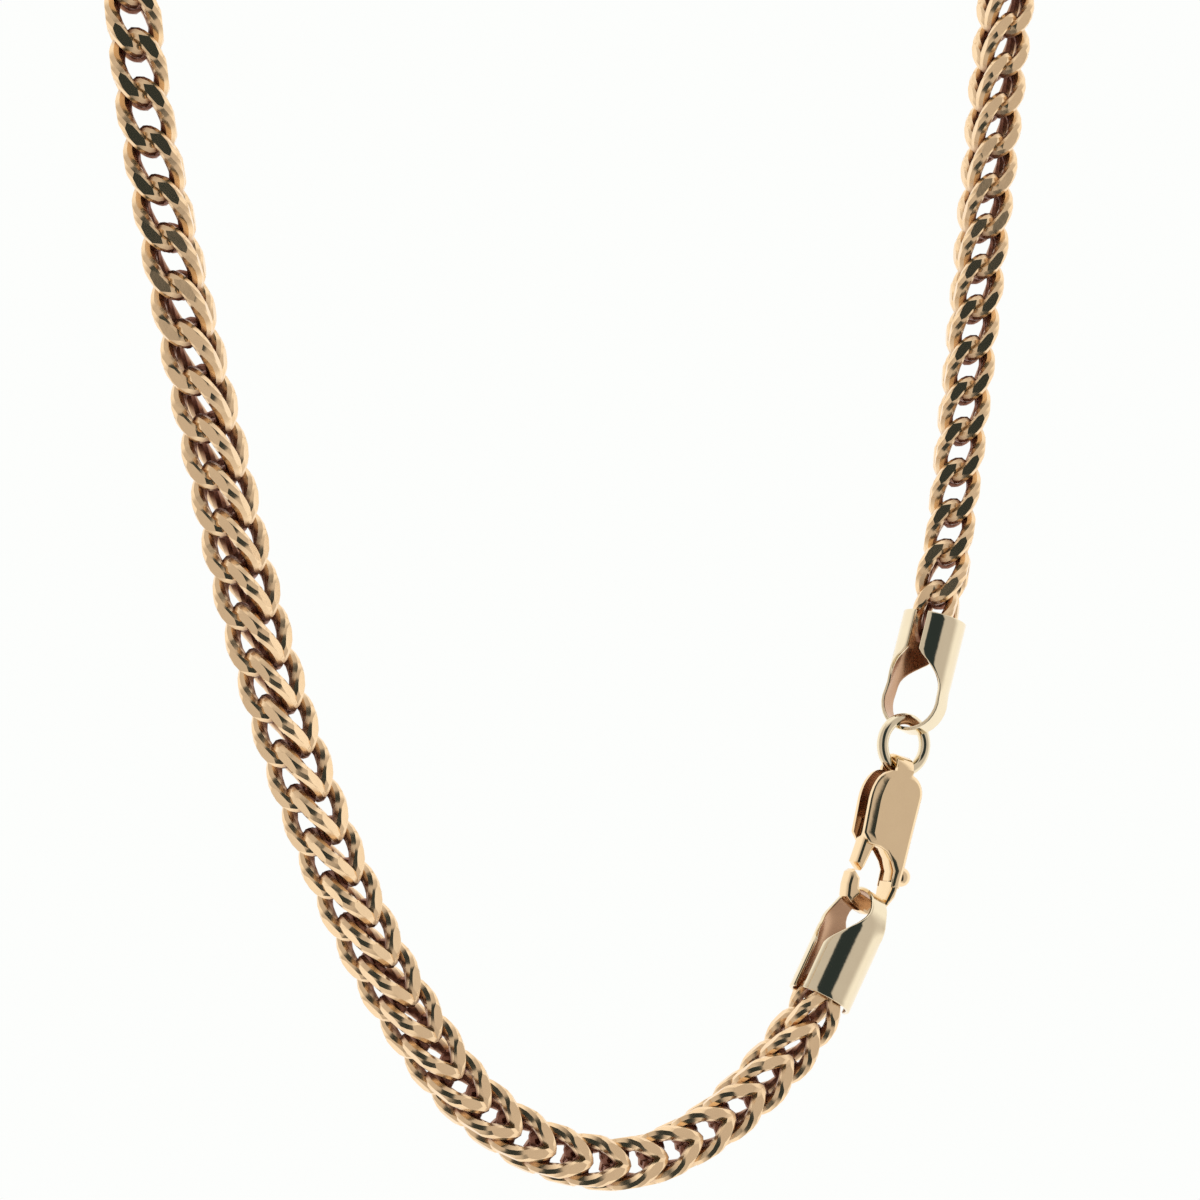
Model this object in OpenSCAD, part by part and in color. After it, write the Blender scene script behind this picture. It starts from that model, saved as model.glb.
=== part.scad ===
// Franco chain necklace with a lobster clasp, hanging as a closed loop.
// +Z is up and +Y runs from the front of the neck to the nape. The origin is under the
// chain's highest point, where the nape carries it. Lengths are in millimetres.

/* [Chain] */
// Distance across two opposite flat sides of the chain
chain_w = 4.1; // [4:0.05:4.2]
// Distance across two opposite corners of the chain
chain_corner_w = 5.1; // [5:0.05:5.2]

/* [Jump ring] */
// Outside diameter of the jump ring
ring_d = 5.45; // [5.4:0.05:5.6]
// Diameter of the ring's wire
ring_wire = 1; // [0.9:0.05:1]

/* [End caps] */
// Length of a cap from the outside of its bend to its open end
cap_len = 10.3; // [10:0.1:10.6]
// Outside diameter of a cap round the chain
cap_d = 5.5; // [5.4:0.05:5.7]
// Thickness of the folded sheet, in the caps and in the clasp
sheet_t = 0.33; // [0.3:0.01:0.35]
// Width of a cap's narrow band at its bend
band_w = 1.8; // [1.6:0.1:1.8]
// Width of the slot between a cap's two shells
cap_slot = 1.2; // [0.8:0.1:1.4]

/* [Clasp] */
// Depth of the clasp over its two plates
clasp_t = 2.5; // [2.5:0.05:2.6]
// Width of the neck that is folded over the ring
neck_w = 1.74; // [1.6:0.02:1.8]
// Depth of the solid hook
hook_t = 1.4; // [1.2:0.05:1.4]
// Depth of the lever between the plates
lever_t = 1.4; // [1.2:0.05:1.5]
// Diameter of the lever's knob
knob_d = 1.7; // [1.6:0.05:1.7]
// Diameter of the rivet that the lever turns on
pin_d = 0.5; // [0.4:0.05:0.5]

/* [Hidden] */
$fn = 48;

chain_gold = [0.86, 0.68, 0.45];
pale_gold = [0.88, 0.79, 0.58];

// Gap all round between the rivet and the lever's bore, and in the holes of the plates
pin_gap = 0.05;
hole_gap = 0.01;
// Gap over the ring at the middle of the neck, whose ends come closer to the ring's bow, and
// gap between the ring and a cap's band
seat_gap = 0.4;
band_gap = 0.05;

// The front of the loop lies in this plane.
front_y = -63;
// A point inside the loop, from which straight out of the loop is measured
loop_middle = [0, -30, -60];
// The chain's ends are pressed together to go into the caps.
pressed = 0.86;

// Route of the chain's middle line, from the upper cap over the nape to the lower cap.
// turn is the angle about the direction of travel from straight out of the loop to the
// chain's first flat side, and size is the section's share of its full width.
//         x      y        z     turn size
route = [[33.5,  front_y, -124,   70, pressed],
         [33.8,  front_y, -122.8, 72, pressed],
         [34.1,  front_y, -121.4, 74, 1],
         [35,    front_y, -117.5, 80, 1],
         [36.5,  front_y, -108,   90, 1],
         [38,    front_y, -97,    95, 1],
         [39.5,  front_y, -85.5, 103, 1],
         [41,    front_y, -73.5, 110, 1],
         [42.5,  front_y, -62,   110, 1],
         [44,    -61.5,   -50.5, 108, 1],
         [45.5,  -58,     -38.5, 105, 1],
         [47,    -52,     -27,   102, 1],
         [47.5,  -43,     -18,   100, 1],
         [46,    -32,     -11,    98, 1],
         [41.5,  -20.5,   -6,     96, 1],
         [33.5,  -11,     -2.5,   94, 1],
         [23,    -4.5,    0,      92, 1],
         [12,    -1,      1.5,    91, 1],
         [0,     0,       2,      90, 1],
         [-12,   -1,      1.5,    86, 1],
         [-23,   -4.5,    0,      78, 1],
         [-33.5, -11,     -2.5,   66, 1],
         [-41.5, -20.5,   -6,     52, 1],
         [-46,   -32,     -11,    38, 1],
         [-47.5, -43,     -18,    24, 1],
         [-47,   -52,     -27,    12, 1],
         [-45.5, -58,     -38.5,   2, 1],
         [-44,   -61.5,   -50.5,  -8, 1],
         [-42.5, front_y, -62,   -15, 1],
         [-41,   front_y, -73.5, -19, 1],
         [-39.5, front_y, -85.5, -16, 1],
         [-37,   front_y, -97.5, -10, 1],
         [-34,   front_y, -110,   -3, 1],
         [-31,   front_y, -122,    4, 1],
         [-27.5, front_y, -133,    8, 1],
         [-23,   front_y, -144,   12, 1],
         [-17.5, front_y, -154,   17, 1],
         [-11.5, front_y, -161.5, 20, 1],
         [-4.5,  front_y, -166,   12, 1],
         [3,     front_y, -167.5,  4, 1],
         [10,    front_y, -165.5, -1, 1],
         [16,    front_y, -161.5,  8, 1],
         [19,    front_y, -158.7, 14, 1],
         [20.5,  front_y, -156.9, 16, 1],
         [21.3,  front_y, -155.6, 18, pressed],
         [22,    front_y, -154.5, 19, pressed]];
// Row of the route at the nape, where the two nodes of the chain meet
nape = 18;

// Middle of the jump ring and its middle radius
ring_at = [30.35, front_y, -134.12];
ring_r = (ring_d - ring_wire) / 2;

// Clasp: local X runs to the right and local Z up the clasp, from the top of its neck.
clasp_tilt = 14.5;
// Angle round the ring, from straight down to the left, at which the neck hangs
neck_angle = 18;
plate_in = clasp_t / 2 - sheet_t;
neck_drop = ring_r + plate_in - ring_wire / 2 - seat_gap;
clasp_at = ring_at - neck_drop * [sin(neck_angle), 0, cos(neck_angle)]
    + clasp_t / 2 * [sin(clasp_tilt), 0, cos(clasp_tilt)];
pivot = [1.3, -4.9];
boss_r = 0.55;
knob = [2.6, -10.05];

// A cap's local Z runs from the outside of its bend to its open end.
cap_r = cap_d / 2;
// Heights at which a band starts to widen into its shell and where it is widest
widen = [3.9, 7];
// Turns of the caps about their own length
upper_turn = 26;
lower_turn = -5;
// Where the lower cap's band crosses the hook, in the clasp's frame
lower_band = [-0.34, -11.93];

function unit(v) = v / norm(v);
function row_at(i) = [route[i][0], route[i][1], route[i][2]];
function clasp_point(p) = clasp_at
    + [p[0] * cos(clasp_tilt) + p[1] * sin(clasp_tilt), 0,
       p[1] * cos(clasp_tilt) - p[0] * sin(clasp_tilt)];

// Section of the chain: a square whose corners are cut by small flats
half_w = chain_w / 2;
half_flat = chain_corner_w / sqrt(2) - half_w;
section = [[half_w, half_flat], [half_flat, half_w], [-half_flat, half_w],
           [-half_w, half_flat], [-half_w, -half_flat], [-half_flat, -half_w],
           [half_flat, -half_w], [half_w, -half_flat]];
sides = len(section);

// Direction of travel at a row, and the outward directions of the first two flat sides
function travel(i) = unit(row_at(min(i + 1, len(route) - 1)) - row_at(max(i - 1, 0)));
function outward(i) =
    let (t = travel(i), v = row_at(i) - loop_middle) unit(v - (v * t) * t);
function face_1(i) =
    cos(route[i][3]) * outward(i) + sin(route[i][3]) * cross(travel(i), outward(i));
function face_2(i) = cross(face_1(i), travel(i));
function section_at(i) =
    [for (q = section) row_at(i) + route[i][4] * (q[0] * face_1(i) + q[1] * face_2(i))];

// The chain from one row of the route to another
module chain(first, last) {
    rows = last - first;
    points = [for (i = [first:last]) each section_at(i)];
    walls = [for (r = [0:rows - 1], j = [0:sides - 1])
        let (a = r * sides + j, b = r * sides + (j + 1) % sides)
        each [[a, b, b + sides], [b + sides, a + sides, a]]];
    ends = [[for (j = [sides - 1:-1:0]) j], [for (j = [0:sides - 1]) rows * sides + j]];
    polyhedron(points, concat(walls, ends), convexity = 10);
}

module chain_right() {
    color(chain_gold) chain(0, nape);
}

module chain_left() {
    color(chain_gold) chain(nape, len(route) - 1);
}

module jump_ring() {
    color(pale_gold) translate(ring_at) rotate([90, 0, 0])
        rotate_extrude() translate([ring_r, 0]) circle(d = ring_wire, $fn = 32);
}

// Half the width of a cap's strip at a height
function strip_half(z) =
    let (f = min(max((z - widen[0]) / (widen[1] - widen[0]), 0), 1),
         narrow = band_w / 2, wide = sqrt(cap_r * cap_r - cap_slot * cap_slot / 4))
    narrow + (wide - narrow) * f * f * (3 - 2 * f);

// Outline of the folded strip, seen square to a shell
module strip() {
    heights = concat([-1], [for (k = [0:12]) widen[0] + k * (widen[1] - widen[0]) / 12],
                     [cap_len + 1]);
    polygon(concat([for (z = heights) [strip_half(z), z]],
                   [for (k = [len(heights) - 1:-1:0]) [-strip_half(heights[k]), heights[k]]]));
}

// A cap stands on its bend. Its shells face along Y, and its bend's hole runs along X.
module cap_shape() {
    intersection() {
        union() {
            difference() {
                translate([0, 0, cap_r]) cylinder(r = cap_r, h = cap_len - cap_r);
                translate([0, 0, cap_r - 1]) cylinder(r = cap_r - sheet_t, h = cap_len);
            }
            difference() {
                translate([0, 0, cap_r]) rotate([0, 90, 0])
                    cylinder(r = cap_r, h = band_w, center = true);
                translate([0, 0, cap_r]) rotate([0, 90, 0])
                    cylinder(r = cap_r - sheet_t, h = 2 * band_w, center = true);
                translate([-cap_d, -cap_d, cap_r + 0.3]) cube(2 * cap_d);
            }
        }
        rotate([90, 0, 0]) linear_extrude(2 * cap_d, center = true) strip();
    }
}

module end_cap(at, end, turn) {
    towards = unit(end - at);
    color(pale_gold) translate(at) rotate([0, atan2(towards[0], towards[2]), 0])
        rotate([0, 0, turn]) cap_shape();
}

module end_cap_upper() {
    inner = ring_d / 2 - ring_wire - band_gap;
    rise = sqrt(inner * inner - band_w * band_w / 4) - sheet_t;
    end_cap(ring_at + rise * unit(row_at(0) - ring_at), row_at(0), upper_turn);
}

module end_cap_lower() {
    end_cap(clasp_point(lower_band), row_at(len(route) - 1), lower_turn);
}

// Puts a shape that is built in the clasp's frame in its place.
module in_clasp() {
    translate(clasp_at) rotate([0, clasp_tilt, 0]) children();
}

// Stands a polygon of the clasp upright, with its depth along Y.
module upright(depth, outline) {
    rotate([90, 0, 0]) linear_extrude(depth, center = true) polygon(outline);
}

// Points of a quarter of an ellipse, from an angle
function quarter(middle, radii, from) =
    [for (k = [0:8]) let (a = from + k * 90 / 8)
        middle + [radii[0] * cos(a), radii[1] * sin(a)]];

neck_half = neck_w / 2;
plate_outline = concat(
    quarter([neck_half, -3.2], [2.4 - neck_half, 1.7], 0),
    [[neck_half, -1.15], [-neck_half, -1.15]],
    quarter([-neck_half, -4.4], [2.75 - neck_half, 2.9], 90),
    [[-2.7, -7.3], [-2, -8.05], [-0.9, -8.15], [-0.1, -8.4], [0.7, -9.15], [1.1, -9.8],
     [1.1, -11.4], [1.55, -11.4], [1.95, -10.4], [2.1, -9.2], [2.2, -6.8]]);

side_outline = [[2.4, -3.2], [2.24, -6], [2.24 - sheet_t, -6], [2.4 - sheet_t, -3.2]];

foot_outline = [[1.1, -10.95], [1.75, -10.95], [1.55, -11.4], [1.1, -11.4]];

hook_outline = [[1.1, -10.95], [1.75, -11], [1.75, -12], [1.35, -13], [0.55, -13.75],
                [-0.5, -13.95], [-1.5, -13.75], [-2.4, -13.3], [-2.93, -12.9],
                [-3.05, -11.85], [-2.95, -10.75], [-2.6, -10.45], [-1.9, -11.05],
                [-1.8, -11.85], [-1.45, -12.3], [-0.5, -12.55], [0.4, -12.75],
                [0.95, -12.5], [1.1, -11.4]];

lever_outline = [[1, -4.6], [-2.1, -5.9], [-2.3, -7.4], [-2.68, -9.85], [-1.92, -10.45],
                 [-1.72, -10.1], [-1.2, -8.4], [-0.85, -8], [-0.2, -8.2], [0.6, -8.9],
                 [1.15, -9.9], [1.15, -10.7], [1.85, -10.7], [2.05, -9.2], [1.9, -7.5],
                 [1.6, -6.5], [1.5, -6]];

// A round bar along Y through the lever's pivot
module at_pivot(d, depth) {
    translate([pivot[0], 0, pivot[1]]) rotate([90, 0, 0])
        cylinder(d = d, h = depth, center = true);
}

// The neck's fold, the upper half of a tube along X
module neck_fold() {
    difference() {
        translate([0, 0, -clasp_t / 2]) rotate([0, 90, 0])
            cylinder(d = clasp_t, h = neck_w, center = true);
        translate([0, 0, -clasp_t / 2]) rotate([0, 90, 0])
            cylinder(r = plate_in, h = 2 * neck_w, center = true);
        translate([-neck_w, -clasp_t, -clasp_t / 2 - 2 * clasp_t]) cube(2 * clasp_t);
    }
}

module clasp_body() {
    color(pale_gold) in_clasp() difference() {
        union() {
            for (s = [-1, 1])
                translate([0, s * (clasp_t - sheet_t) / 2, 0]) upright(sheet_t, plate_outline);
            neck_fold();
            upright(clasp_t, side_outline);
            upright(clasp_t, foot_outline);
            upright(hook_t, hook_outline);
        }
        at_pivot(pin_d + 2 * hole_gap, 2 * clasp_t);
    }
}

module clasp_lever() {
    color(pale_gold) in_clasp() difference() {
        union() {
            upright(lever_t, lever_outline);
            at_pivot(2 * boss_r, lever_t);
            translate([knob[0], 0, knob[1]]) sphere(d = knob_d);
        }
        at_pivot(pin_d + 2 * pin_gap, 2 * clasp_t);
    }
}

module lever_pin() {
    color(pale_gold) in_clasp() at_pivot(pin_d, clasp_t);
}

chain_right();
chain_left();
end_cap_upper();
jump_ring();
clasp_body();
clasp_lever();
lever_pin();
end_cap_lower();
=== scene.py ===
"""A gold Franco chain necklace with its end caps, jump ring and lobster clasp, hanging as a
closed loop, with its stage and camera.

Everything is in metres, in the CAD's frame: +Z is up, +Y runs from the front of the neck to
the nape, and the origin is under the chain's highest point.
"""

import math

import bmesh
import bpy
import numpy as np
from bpy.props import FloatProperty, FloatVectorProperty, IntProperty, PointerProperty
from mathutils import Matrix, Vector


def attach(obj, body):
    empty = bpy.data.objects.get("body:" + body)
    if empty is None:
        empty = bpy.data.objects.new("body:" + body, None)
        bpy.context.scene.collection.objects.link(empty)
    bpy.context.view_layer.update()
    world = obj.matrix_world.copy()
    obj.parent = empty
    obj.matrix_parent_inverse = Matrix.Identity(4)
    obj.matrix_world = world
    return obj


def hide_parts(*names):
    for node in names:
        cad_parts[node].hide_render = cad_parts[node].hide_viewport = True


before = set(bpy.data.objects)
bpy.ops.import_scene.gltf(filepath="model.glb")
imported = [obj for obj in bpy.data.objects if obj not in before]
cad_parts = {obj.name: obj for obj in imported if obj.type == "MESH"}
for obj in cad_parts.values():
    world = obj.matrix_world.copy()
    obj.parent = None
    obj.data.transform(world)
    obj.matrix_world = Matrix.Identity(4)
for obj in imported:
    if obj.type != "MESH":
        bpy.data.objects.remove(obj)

bl_info = {
    "name": "Franco Chain Necklace",
    "version": (1, 0, 0),
    "blender": (4, 5, 0),
    "location": "View3D > Sidebar > Necklace",
    "description": "Builds a gold Franco chain necklace with its clasp over the CAD frame",
    "category": "Object",
}

BODY = "necklace"
LEVER_BODY = "lever"

# The plane of the loop's front, and the share of its full width that the chain's pressed ends keep
FRONT_Y = -0.063
PRESSED = 0.86
# A point inside the loop, from which straight out of the loop is measured
LOOP_MIDDLE = (0, -0.03, -0.06)

# Route of the chain's middle line, from the upper cap over the nape to the lower cap:
# x, y, z, turn in degrees about the travel from straight out of the loop to the first flat
# side, and the section's share of its full width
ROUTE = [
    (0.0335, FRONT_Y, -0.124, 75, PRESSED),
    (0.0338, FRONT_Y, -0.1228, 77, PRESSED),
    (0.0341, FRONT_Y, -0.1214, 80, 1),
    (0.035, FRONT_Y, -0.1175, 88, 1),
    (0.0365, FRONT_Y, -0.108, 97, 1),
    (0.038, FRONT_Y, -0.097, 101, 1),
    (0.0395, FRONT_Y, -0.0855, 110, 1),
    (0.041, FRONT_Y, -0.0735, 118, 1),
    (0.0425, FRONT_Y, -0.062, 116, 1),
    (0.044, -0.0615, -0.0505, 112, 1),
    (0.0455, -0.058, -0.0385, 107, 1),
    (0.047, -0.052, -0.027, 102, 1),
    (0.0474, -0.043, -0.018, 100, 1),
    (0.046, -0.032, -0.011, 98, 1),
    (0.0415, -0.0205, -0.006, 96, 1),
    (0.0335, -0.011, -0.0025, 94, 1),
    (0.023, -0.0045, 0, 92, 1),
    (0.012, -0.001, 0.0015, 91, 1),
    (0, -0.0001, 0.002, 90, 1),
    (-0.012, -0.001, 0.0015, 86, 1),
    (-0.023, -0.0045, 0, 78, 1),
    (-0.0335, -0.011, -0.0025, 66, 1),
    (-0.0415, -0.0205, -0.006, 52, 1),
    (-0.046, -0.032, -0.011, 38, 1),
    (-0.0473, -0.043, -0.018, 20, 1),
    (-0.047, -0.052, -0.027, 6, 1),
    (-0.0455, -0.058, -0.0385, -4, 1),
    (-0.044, -0.0615, -0.0505, -13, 1),
    (-0.0425, FRONT_Y, -0.062, -25, 1),
    (-0.041, FRONT_Y, -0.0735, -28, 1),
    (-0.0395, FRONT_Y, -0.0855, -27, 1),
    (-0.037, FRONT_Y, -0.0975, -18, 1),
    (-0.034, FRONT_Y, -0.11, -4, 1),
    (-0.031, FRONT_Y, -0.122, 4, 1),
    (-0.0275, FRONT_Y, -0.133, 8, 1),
    (-0.023, FRONT_Y, -0.144, 12, 1),
    (-0.0175, FRONT_Y, -0.154, 17, 1),
    (-0.0115, FRONT_Y, -0.1615, 20, 1),
    (-0.0045, FRONT_Y, -0.166, 12, 1),
    (0.003, FRONT_Y, -0.1675, 4, 1),
    (0.01, FRONT_Y, -0.1655, -1, 1),
    (0.016, FRONT_Y, -0.1615, 8, 1),
    (0.019, FRONT_Y, -0.1587, 14, 1),
    (0.0205, FRONT_Y, -0.1569, 16, 1),
    (0.0213, FRONT_Y, -0.1556, 18, PRESSED),
    (0.022, FRONT_Y, -0.1545, 19, PRESSED),
]
# Row of the route at the nape, where the two pieces of the chain meet
NAPE = 18
# Steps of the smooth curve between two rows, and the distance either way over which its
# direction is taken
ROUTE_STEPS = 24
TRAVEL_STEP = 0.0005
# Length of chain that has to be left before the route's end for one more link
LAST_LINK = 0.0014

# Half of a link's bow, from its tip to the middle of its crossing: places across the first
# flat side, across the second, and along the chain. The other half mirrors it.
HALF_BOW = [
    (0, 0.00117, 0.0023),
    (0.00034, 0.00141, 0.00188),
    (0.00088, 0.0016, 0.00104),
    (0.00141, 0.00141, 0),
    (0.0016, 0.00102, -0.00098),
    (0.00147, 0.0004, -0.00178),
    (0.0011, -0.00008, -0.00205),
    (0.00055, -0.0004, -0.0018),
    (0, -0.0005, -0.00145),
]
# Distances from the chain's middle line at which a link's painted shade starts and is full
UNSHADED, FULLY_SHADED = 0.00192, 0.00142
# Least share of a filed face's normal that points out of the chain's side, and least distance of
# its middle from the chain's middle line, as a share of the chain's half width
FILED_SQUARE, FILED_OUT = 0.999, 0.99

# Middle of the jump ring, the faces round its wire, and the steps round the ring
RING_AT = (0.03035, FRONT_Y, -0.13412)
RING_SIDES, RING_STEPS = 20, 64

# Distances from each cap's bend between which its strip widens
CAP_WIDENS = {"upper": (0.0039, 0.007), "lower": (0.0016, 0.0062)}
# Length past the bend over which the strip goes from flat to round, and the bevel of its edges
CAP_ROUNDS = 0.0012
CAP_EDGE = 0.00008
# Rows along half of a cap's bend and along its wall, and places across the strip
BEND_ROWS, WALL_ROWS, CAP_ACROSS = 9, 19, 15

# Outlines of the clasp's pieces in its own frame: x to the right and z up from its neck's top
HOOK = [
    (0.0011, -0.01074), (0.00194, -0.01074), (0.00182, -0.012), (0.00135, -0.013),
    (0.00055, -0.01375), (-0.0005, -0.01395), (-0.0015, -0.01375), (-0.0024, -0.0133),
    (-0.00293, -0.0129), (-0.00305, -0.01185), (-0.00295, -0.01075), (-0.0026, -0.01045),
    (-0.0019, -0.01105), (-0.0018, -0.01185), (-0.00145, -0.0123), (-0.0005, -0.01255),
    (0.0004, -0.01275), (0.00095, -0.0125), (0.0011, -0.0114),
]
LEVER = [
    (0.001, -0.0046), (-0.0021, -0.0059), (-0.0023, -0.0074), (-0.00268, -0.00985),
    (-0.00192, -0.01045), (-0.00172, -0.0101), (-0.0012, -0.0084), (-0.00085, -0.008),
    (-0.0002, -0.0082), (0.0006, -0.0089), (0.00115, -0.0099), (0.00115, -0.0107),
    (0.00185, -0.0107), (0.00205, -0.0092), (0.0019, -0.0075), (0.0016, -0.0065),
    (0.0015, -0.006),
]
# Heights between which the hook spreads, and the share of the clasp's depth that it reaches
HOOK_SPREADS = (-0.0136, -0.0112)
HOOK_ROOT = 0.98
# Sides of the plates, the heights at which their corners begin, the shoulders beside the neck,
# and the upper end of the neck's flat part
PLATE_RIGHT, RIGHT_CORNER = 0.0024, -0.0032
PLATE_LEFT, LEFT_CORNER = 0.00275, -0.0044
SHOULDER = -0.0015
NECK_END = -0.00115
# Lower edge of the plates, from the rolled edge on the left to the spine on the right
PLATE_FOOT = [
    (-0.0027, -0.0073), (-0.002, -0.00805), (-0.0009, -0.00815), (-0.0001, -0.0084),
    (0.0007, -0.00915), (0.0011, -0.0098), (0.0011, -0.0112), (0.00192, -0.0112),
    (0.002, -0.0104), (0.0021, -0.0092), (0.0022, -0.0068),
]
# Rings of a plate's rounded rim, from the outermost in: distance from the ring before, and how
# far the ring is set back on the right and on the left
RIM = [
    (0, 0.00026, 0.00031), (0.00005, 0.00016, 0.00027), (0.00016, 0.00005, 0.00025),
    (0.00018, 0, 0),
]
# How far left of the middle a plate starts and ends to bend back, how far its inner side is set
# back there, and how far its bend reaches to the right
PLATE_BENDS = (0.001, 0.0022)
INNER_BEND = 0.0003
BEND_WIDTH = 0.00045
# The rim is flat beside the neck, down to this height and this far past the neck's half width
FLAT_BY_NECK = -0.0025
FLAT_PAST_NECK = 0.0001
# Outer side of the spine between the plates, and the room between it and their faces
SPINE = ((0.00239, -0.0032), (0.00223, -0.006))
SPINE_ROOM = 0.00031
# Bevel along the neck's fold
NECK_BEVEL = 0.0001
# Middles of the rivet and of the lever's knob
PIVOT = (0.0013, -0.0049)
KNOB = (0.0026, -0.01005)
# Depth by which each end of the rivet lies under the plates' faces
RIVET_SUNK = 0.00005
# Where the lower cap's band crosses the hook
LOWER_BAND = (-0.00034, -0.01193)
# Steps of a plate's corner and of the neck's fold, faces round and along the knob, and faces
# round the rivet
CORNER_STEPS, NECK_STEPS = 9, 16
KNOB_ROUND, KNOB_ALONG = 32, 20
RIVET_SIDES = 32

# Faces larger than this, in square metres, stay flat
LARGE_FACE = 2e-6
# Angles from which an edge is kept sharp: in general, on the hook and the lever, and on the
# plates; and the angle from which one of the neck's edges is bevelled
SHARP, SOLID_SHARP, PLATE_SHARP = math.radians(30), math.radians(35), math.radians(50)
NECK_SHARP = 1.2

# The golds: colour and tarnish-and-shade colour among the finish settings, roughness, what
# clouds add to it, and whether the links' painted shade attribute darkens it
GOLDS = {
    "Chain gold": ("chain", "patina_and_shade", 0.17, 0.06, True),
    "Clasp gold": ("clasp", "dull_and_shade", 0.08, 0.06, False),
    "Pale gold": ("pale", "dull_and_shade", 0.06, 0.06, False),
    # Inner side of folded sheet: darker, browner gold, partly painted shade
    "Inner gold": ("dull_and_shade", "patina_and_shade", 0.22, 0.1, False),
}
# Sizes of the clouds and dents in the metal, as noise scale and detail
CLOUDS = (900, 3)
DENTS = (1900, 2)
# Tarnish in the middle of a cloud, roughness that full painted shade adds, and the dents' bump
CLOUD_TARNISH = 0.16
SHADE_ROUGHNESS = 0.2
DENT_STRENGTH, DENT_DEPTH = 0.25, 0.00002

# The surroundings' dark and warm patches: degrees from their middle, and from the horizon, at
# which they start to fade and at which they end
DARK_MIDDLE = 7
DARK_PATCH = ((23, 30), (38, 50))
WARM_PATCH = ((72, 100), (50, 75))
FLOOR_SIDES = 96


class ChainSettings(bpy.types.PropertyGroup):
    """Sizes of the chain and of its links."""

    pitch: FloatProperty(
        name="Pitch", description="Length of chain that one pair of links takes",
        default=0.0036, unit="LENGTH", precision=5)
    wire: FloatProperty(
        name="Wire", description="Diameter of the links' wire before it is filed",
        default=0.00124, unit="LENGTH", precision=5)
    half_width: FloatProperty(
        name="Half width", description="Distance from the chain's middle line to its flat sides",
        default=0.00205, unit="LENGTH", precision=5)
    pair_shift: FloatProperty(
        name="Pair shift",
        description="Distance along the chain from a link's middle to that of its turned partner",
        default=0.00065, unit="LENGTH", precision=5)
    first_link: FloatProperty(
        name="First link", description="Distance along the route to the first link",
        default=0.00074, unit="LENGTH", precision=5)
    bow_steps: IntProperty(
        name="Bow steps", description="Sections of wire between two places of a link's bow",
        default=2, min=1)
    wire_sides: IntProperty(
        name="Wire sides", description="Faces round a link's wire", default=10, min=6)


class HardwareSettings(bpy.types.PropertyGroup):
    """Sizes of the ring, the caps and the clasp."""

    ring_diameter: FloatProperty(
        name="Ring diameter", description="Outside diameter of the jump ring",
        default=0.00545, unit="LENGTH", precision=5)
    ring_wire: FloatProperty(
        name="Ring wire", description="Diameter of the jump ring's wire",
        default=0.001, unit="LENGTH", precision=5)
    sheet: FloatProperty(
        name="Sheet", description="Thickness of the folded sheet, in the caps and the clasp",
        default=0.00033, unit="LENGTH", precision=5)
    cap_length: FloatProperty(
        name="Cap length", description="Length of a cap from its bend to its open end",
        default=0.0103, unit="LENGTH", precision=5)
    cap_diameter: FloatProperty(
        name="Cap diameter", description="Outside diameter of a cap round the chain",
        default=0.0055, unit="LENGTH", precision=5)
    band_width: FloatProperty(
        name="Band width", description="Width of a cap's narrow band at its bend",
        default=0.0018, unit="LENGTH", precision=5)
    cap_slot: FloatProperty(
        name="Cap slot", description="Width of the slot between a cap's two shells",
        default=0.0012, unit="LENGTH", precision=5)
    upper_turn: FloatProperty(
        name="Upper turn", description="Turn of the upper cap about its own length",
        default=math.radians(26), subtype="ANGLE")
    lower_turn: FloatProperty(
        name="Lower turn", description="Turn of the lower cap about its own length",
        default=math.radians(-5), subtype="ANGLE")
    clasp_depth: FloatProperty(
        name="Clasp depth", description="Depth of the clasp over its two plates",
        default=0.0025, unit="LENGTH", precision=5)
    clasp_tilt: FloatProperty(
        name="Clasp tilt", description="Lean of the clasp from upright, to the right",
        default=math.radians(14.5), subtype="ANGLE")
    neck_width: FloatProperty(
        name="Neck width", description="Width of the neck that is folded over the ring",
        default=0.00174, unit="LENGTH", precision=5)
    neck_angle: FloatProperty(
        name="Neck angle", description="Angle round the ring from straight down to the neck",
        default=math.radians(18), subtype="ANGLE")
    neck_gap: FloatProperty(
        name="Neck gap", description="Gap over the ring at the middle of the neck",
        default=0.0004, unit="LENGTH", precision=5)
    band_gap: FloatProperty(
        name="Band gap", description="Gap between the ring and a cap's band",
        default=0.00005, unit="LENGTH", precision=5)
    hook_depth: FloatProperty(
        name="Hook depth", description="Depth of the solid hook and of the lever",
        default=0.0014, unit="LENGTH", precision=5)
    chamfer: FloatProperty(
        name="Chamfer", description="Width of the bevels along the hook and the lever",
        default=0.0003, unit="LENGTH", precision=5)
    knob: FloatProperty(
        name="Knob", description="Diameter of the lever's knob",
        default=0.0017, unit="LENGTH", precision=5)
    pin: FloatProperty(
        name="Pin", description="Diameter of the lever's rivet",
        default=0.0005, unit="LENGTH", precision=5)


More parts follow.
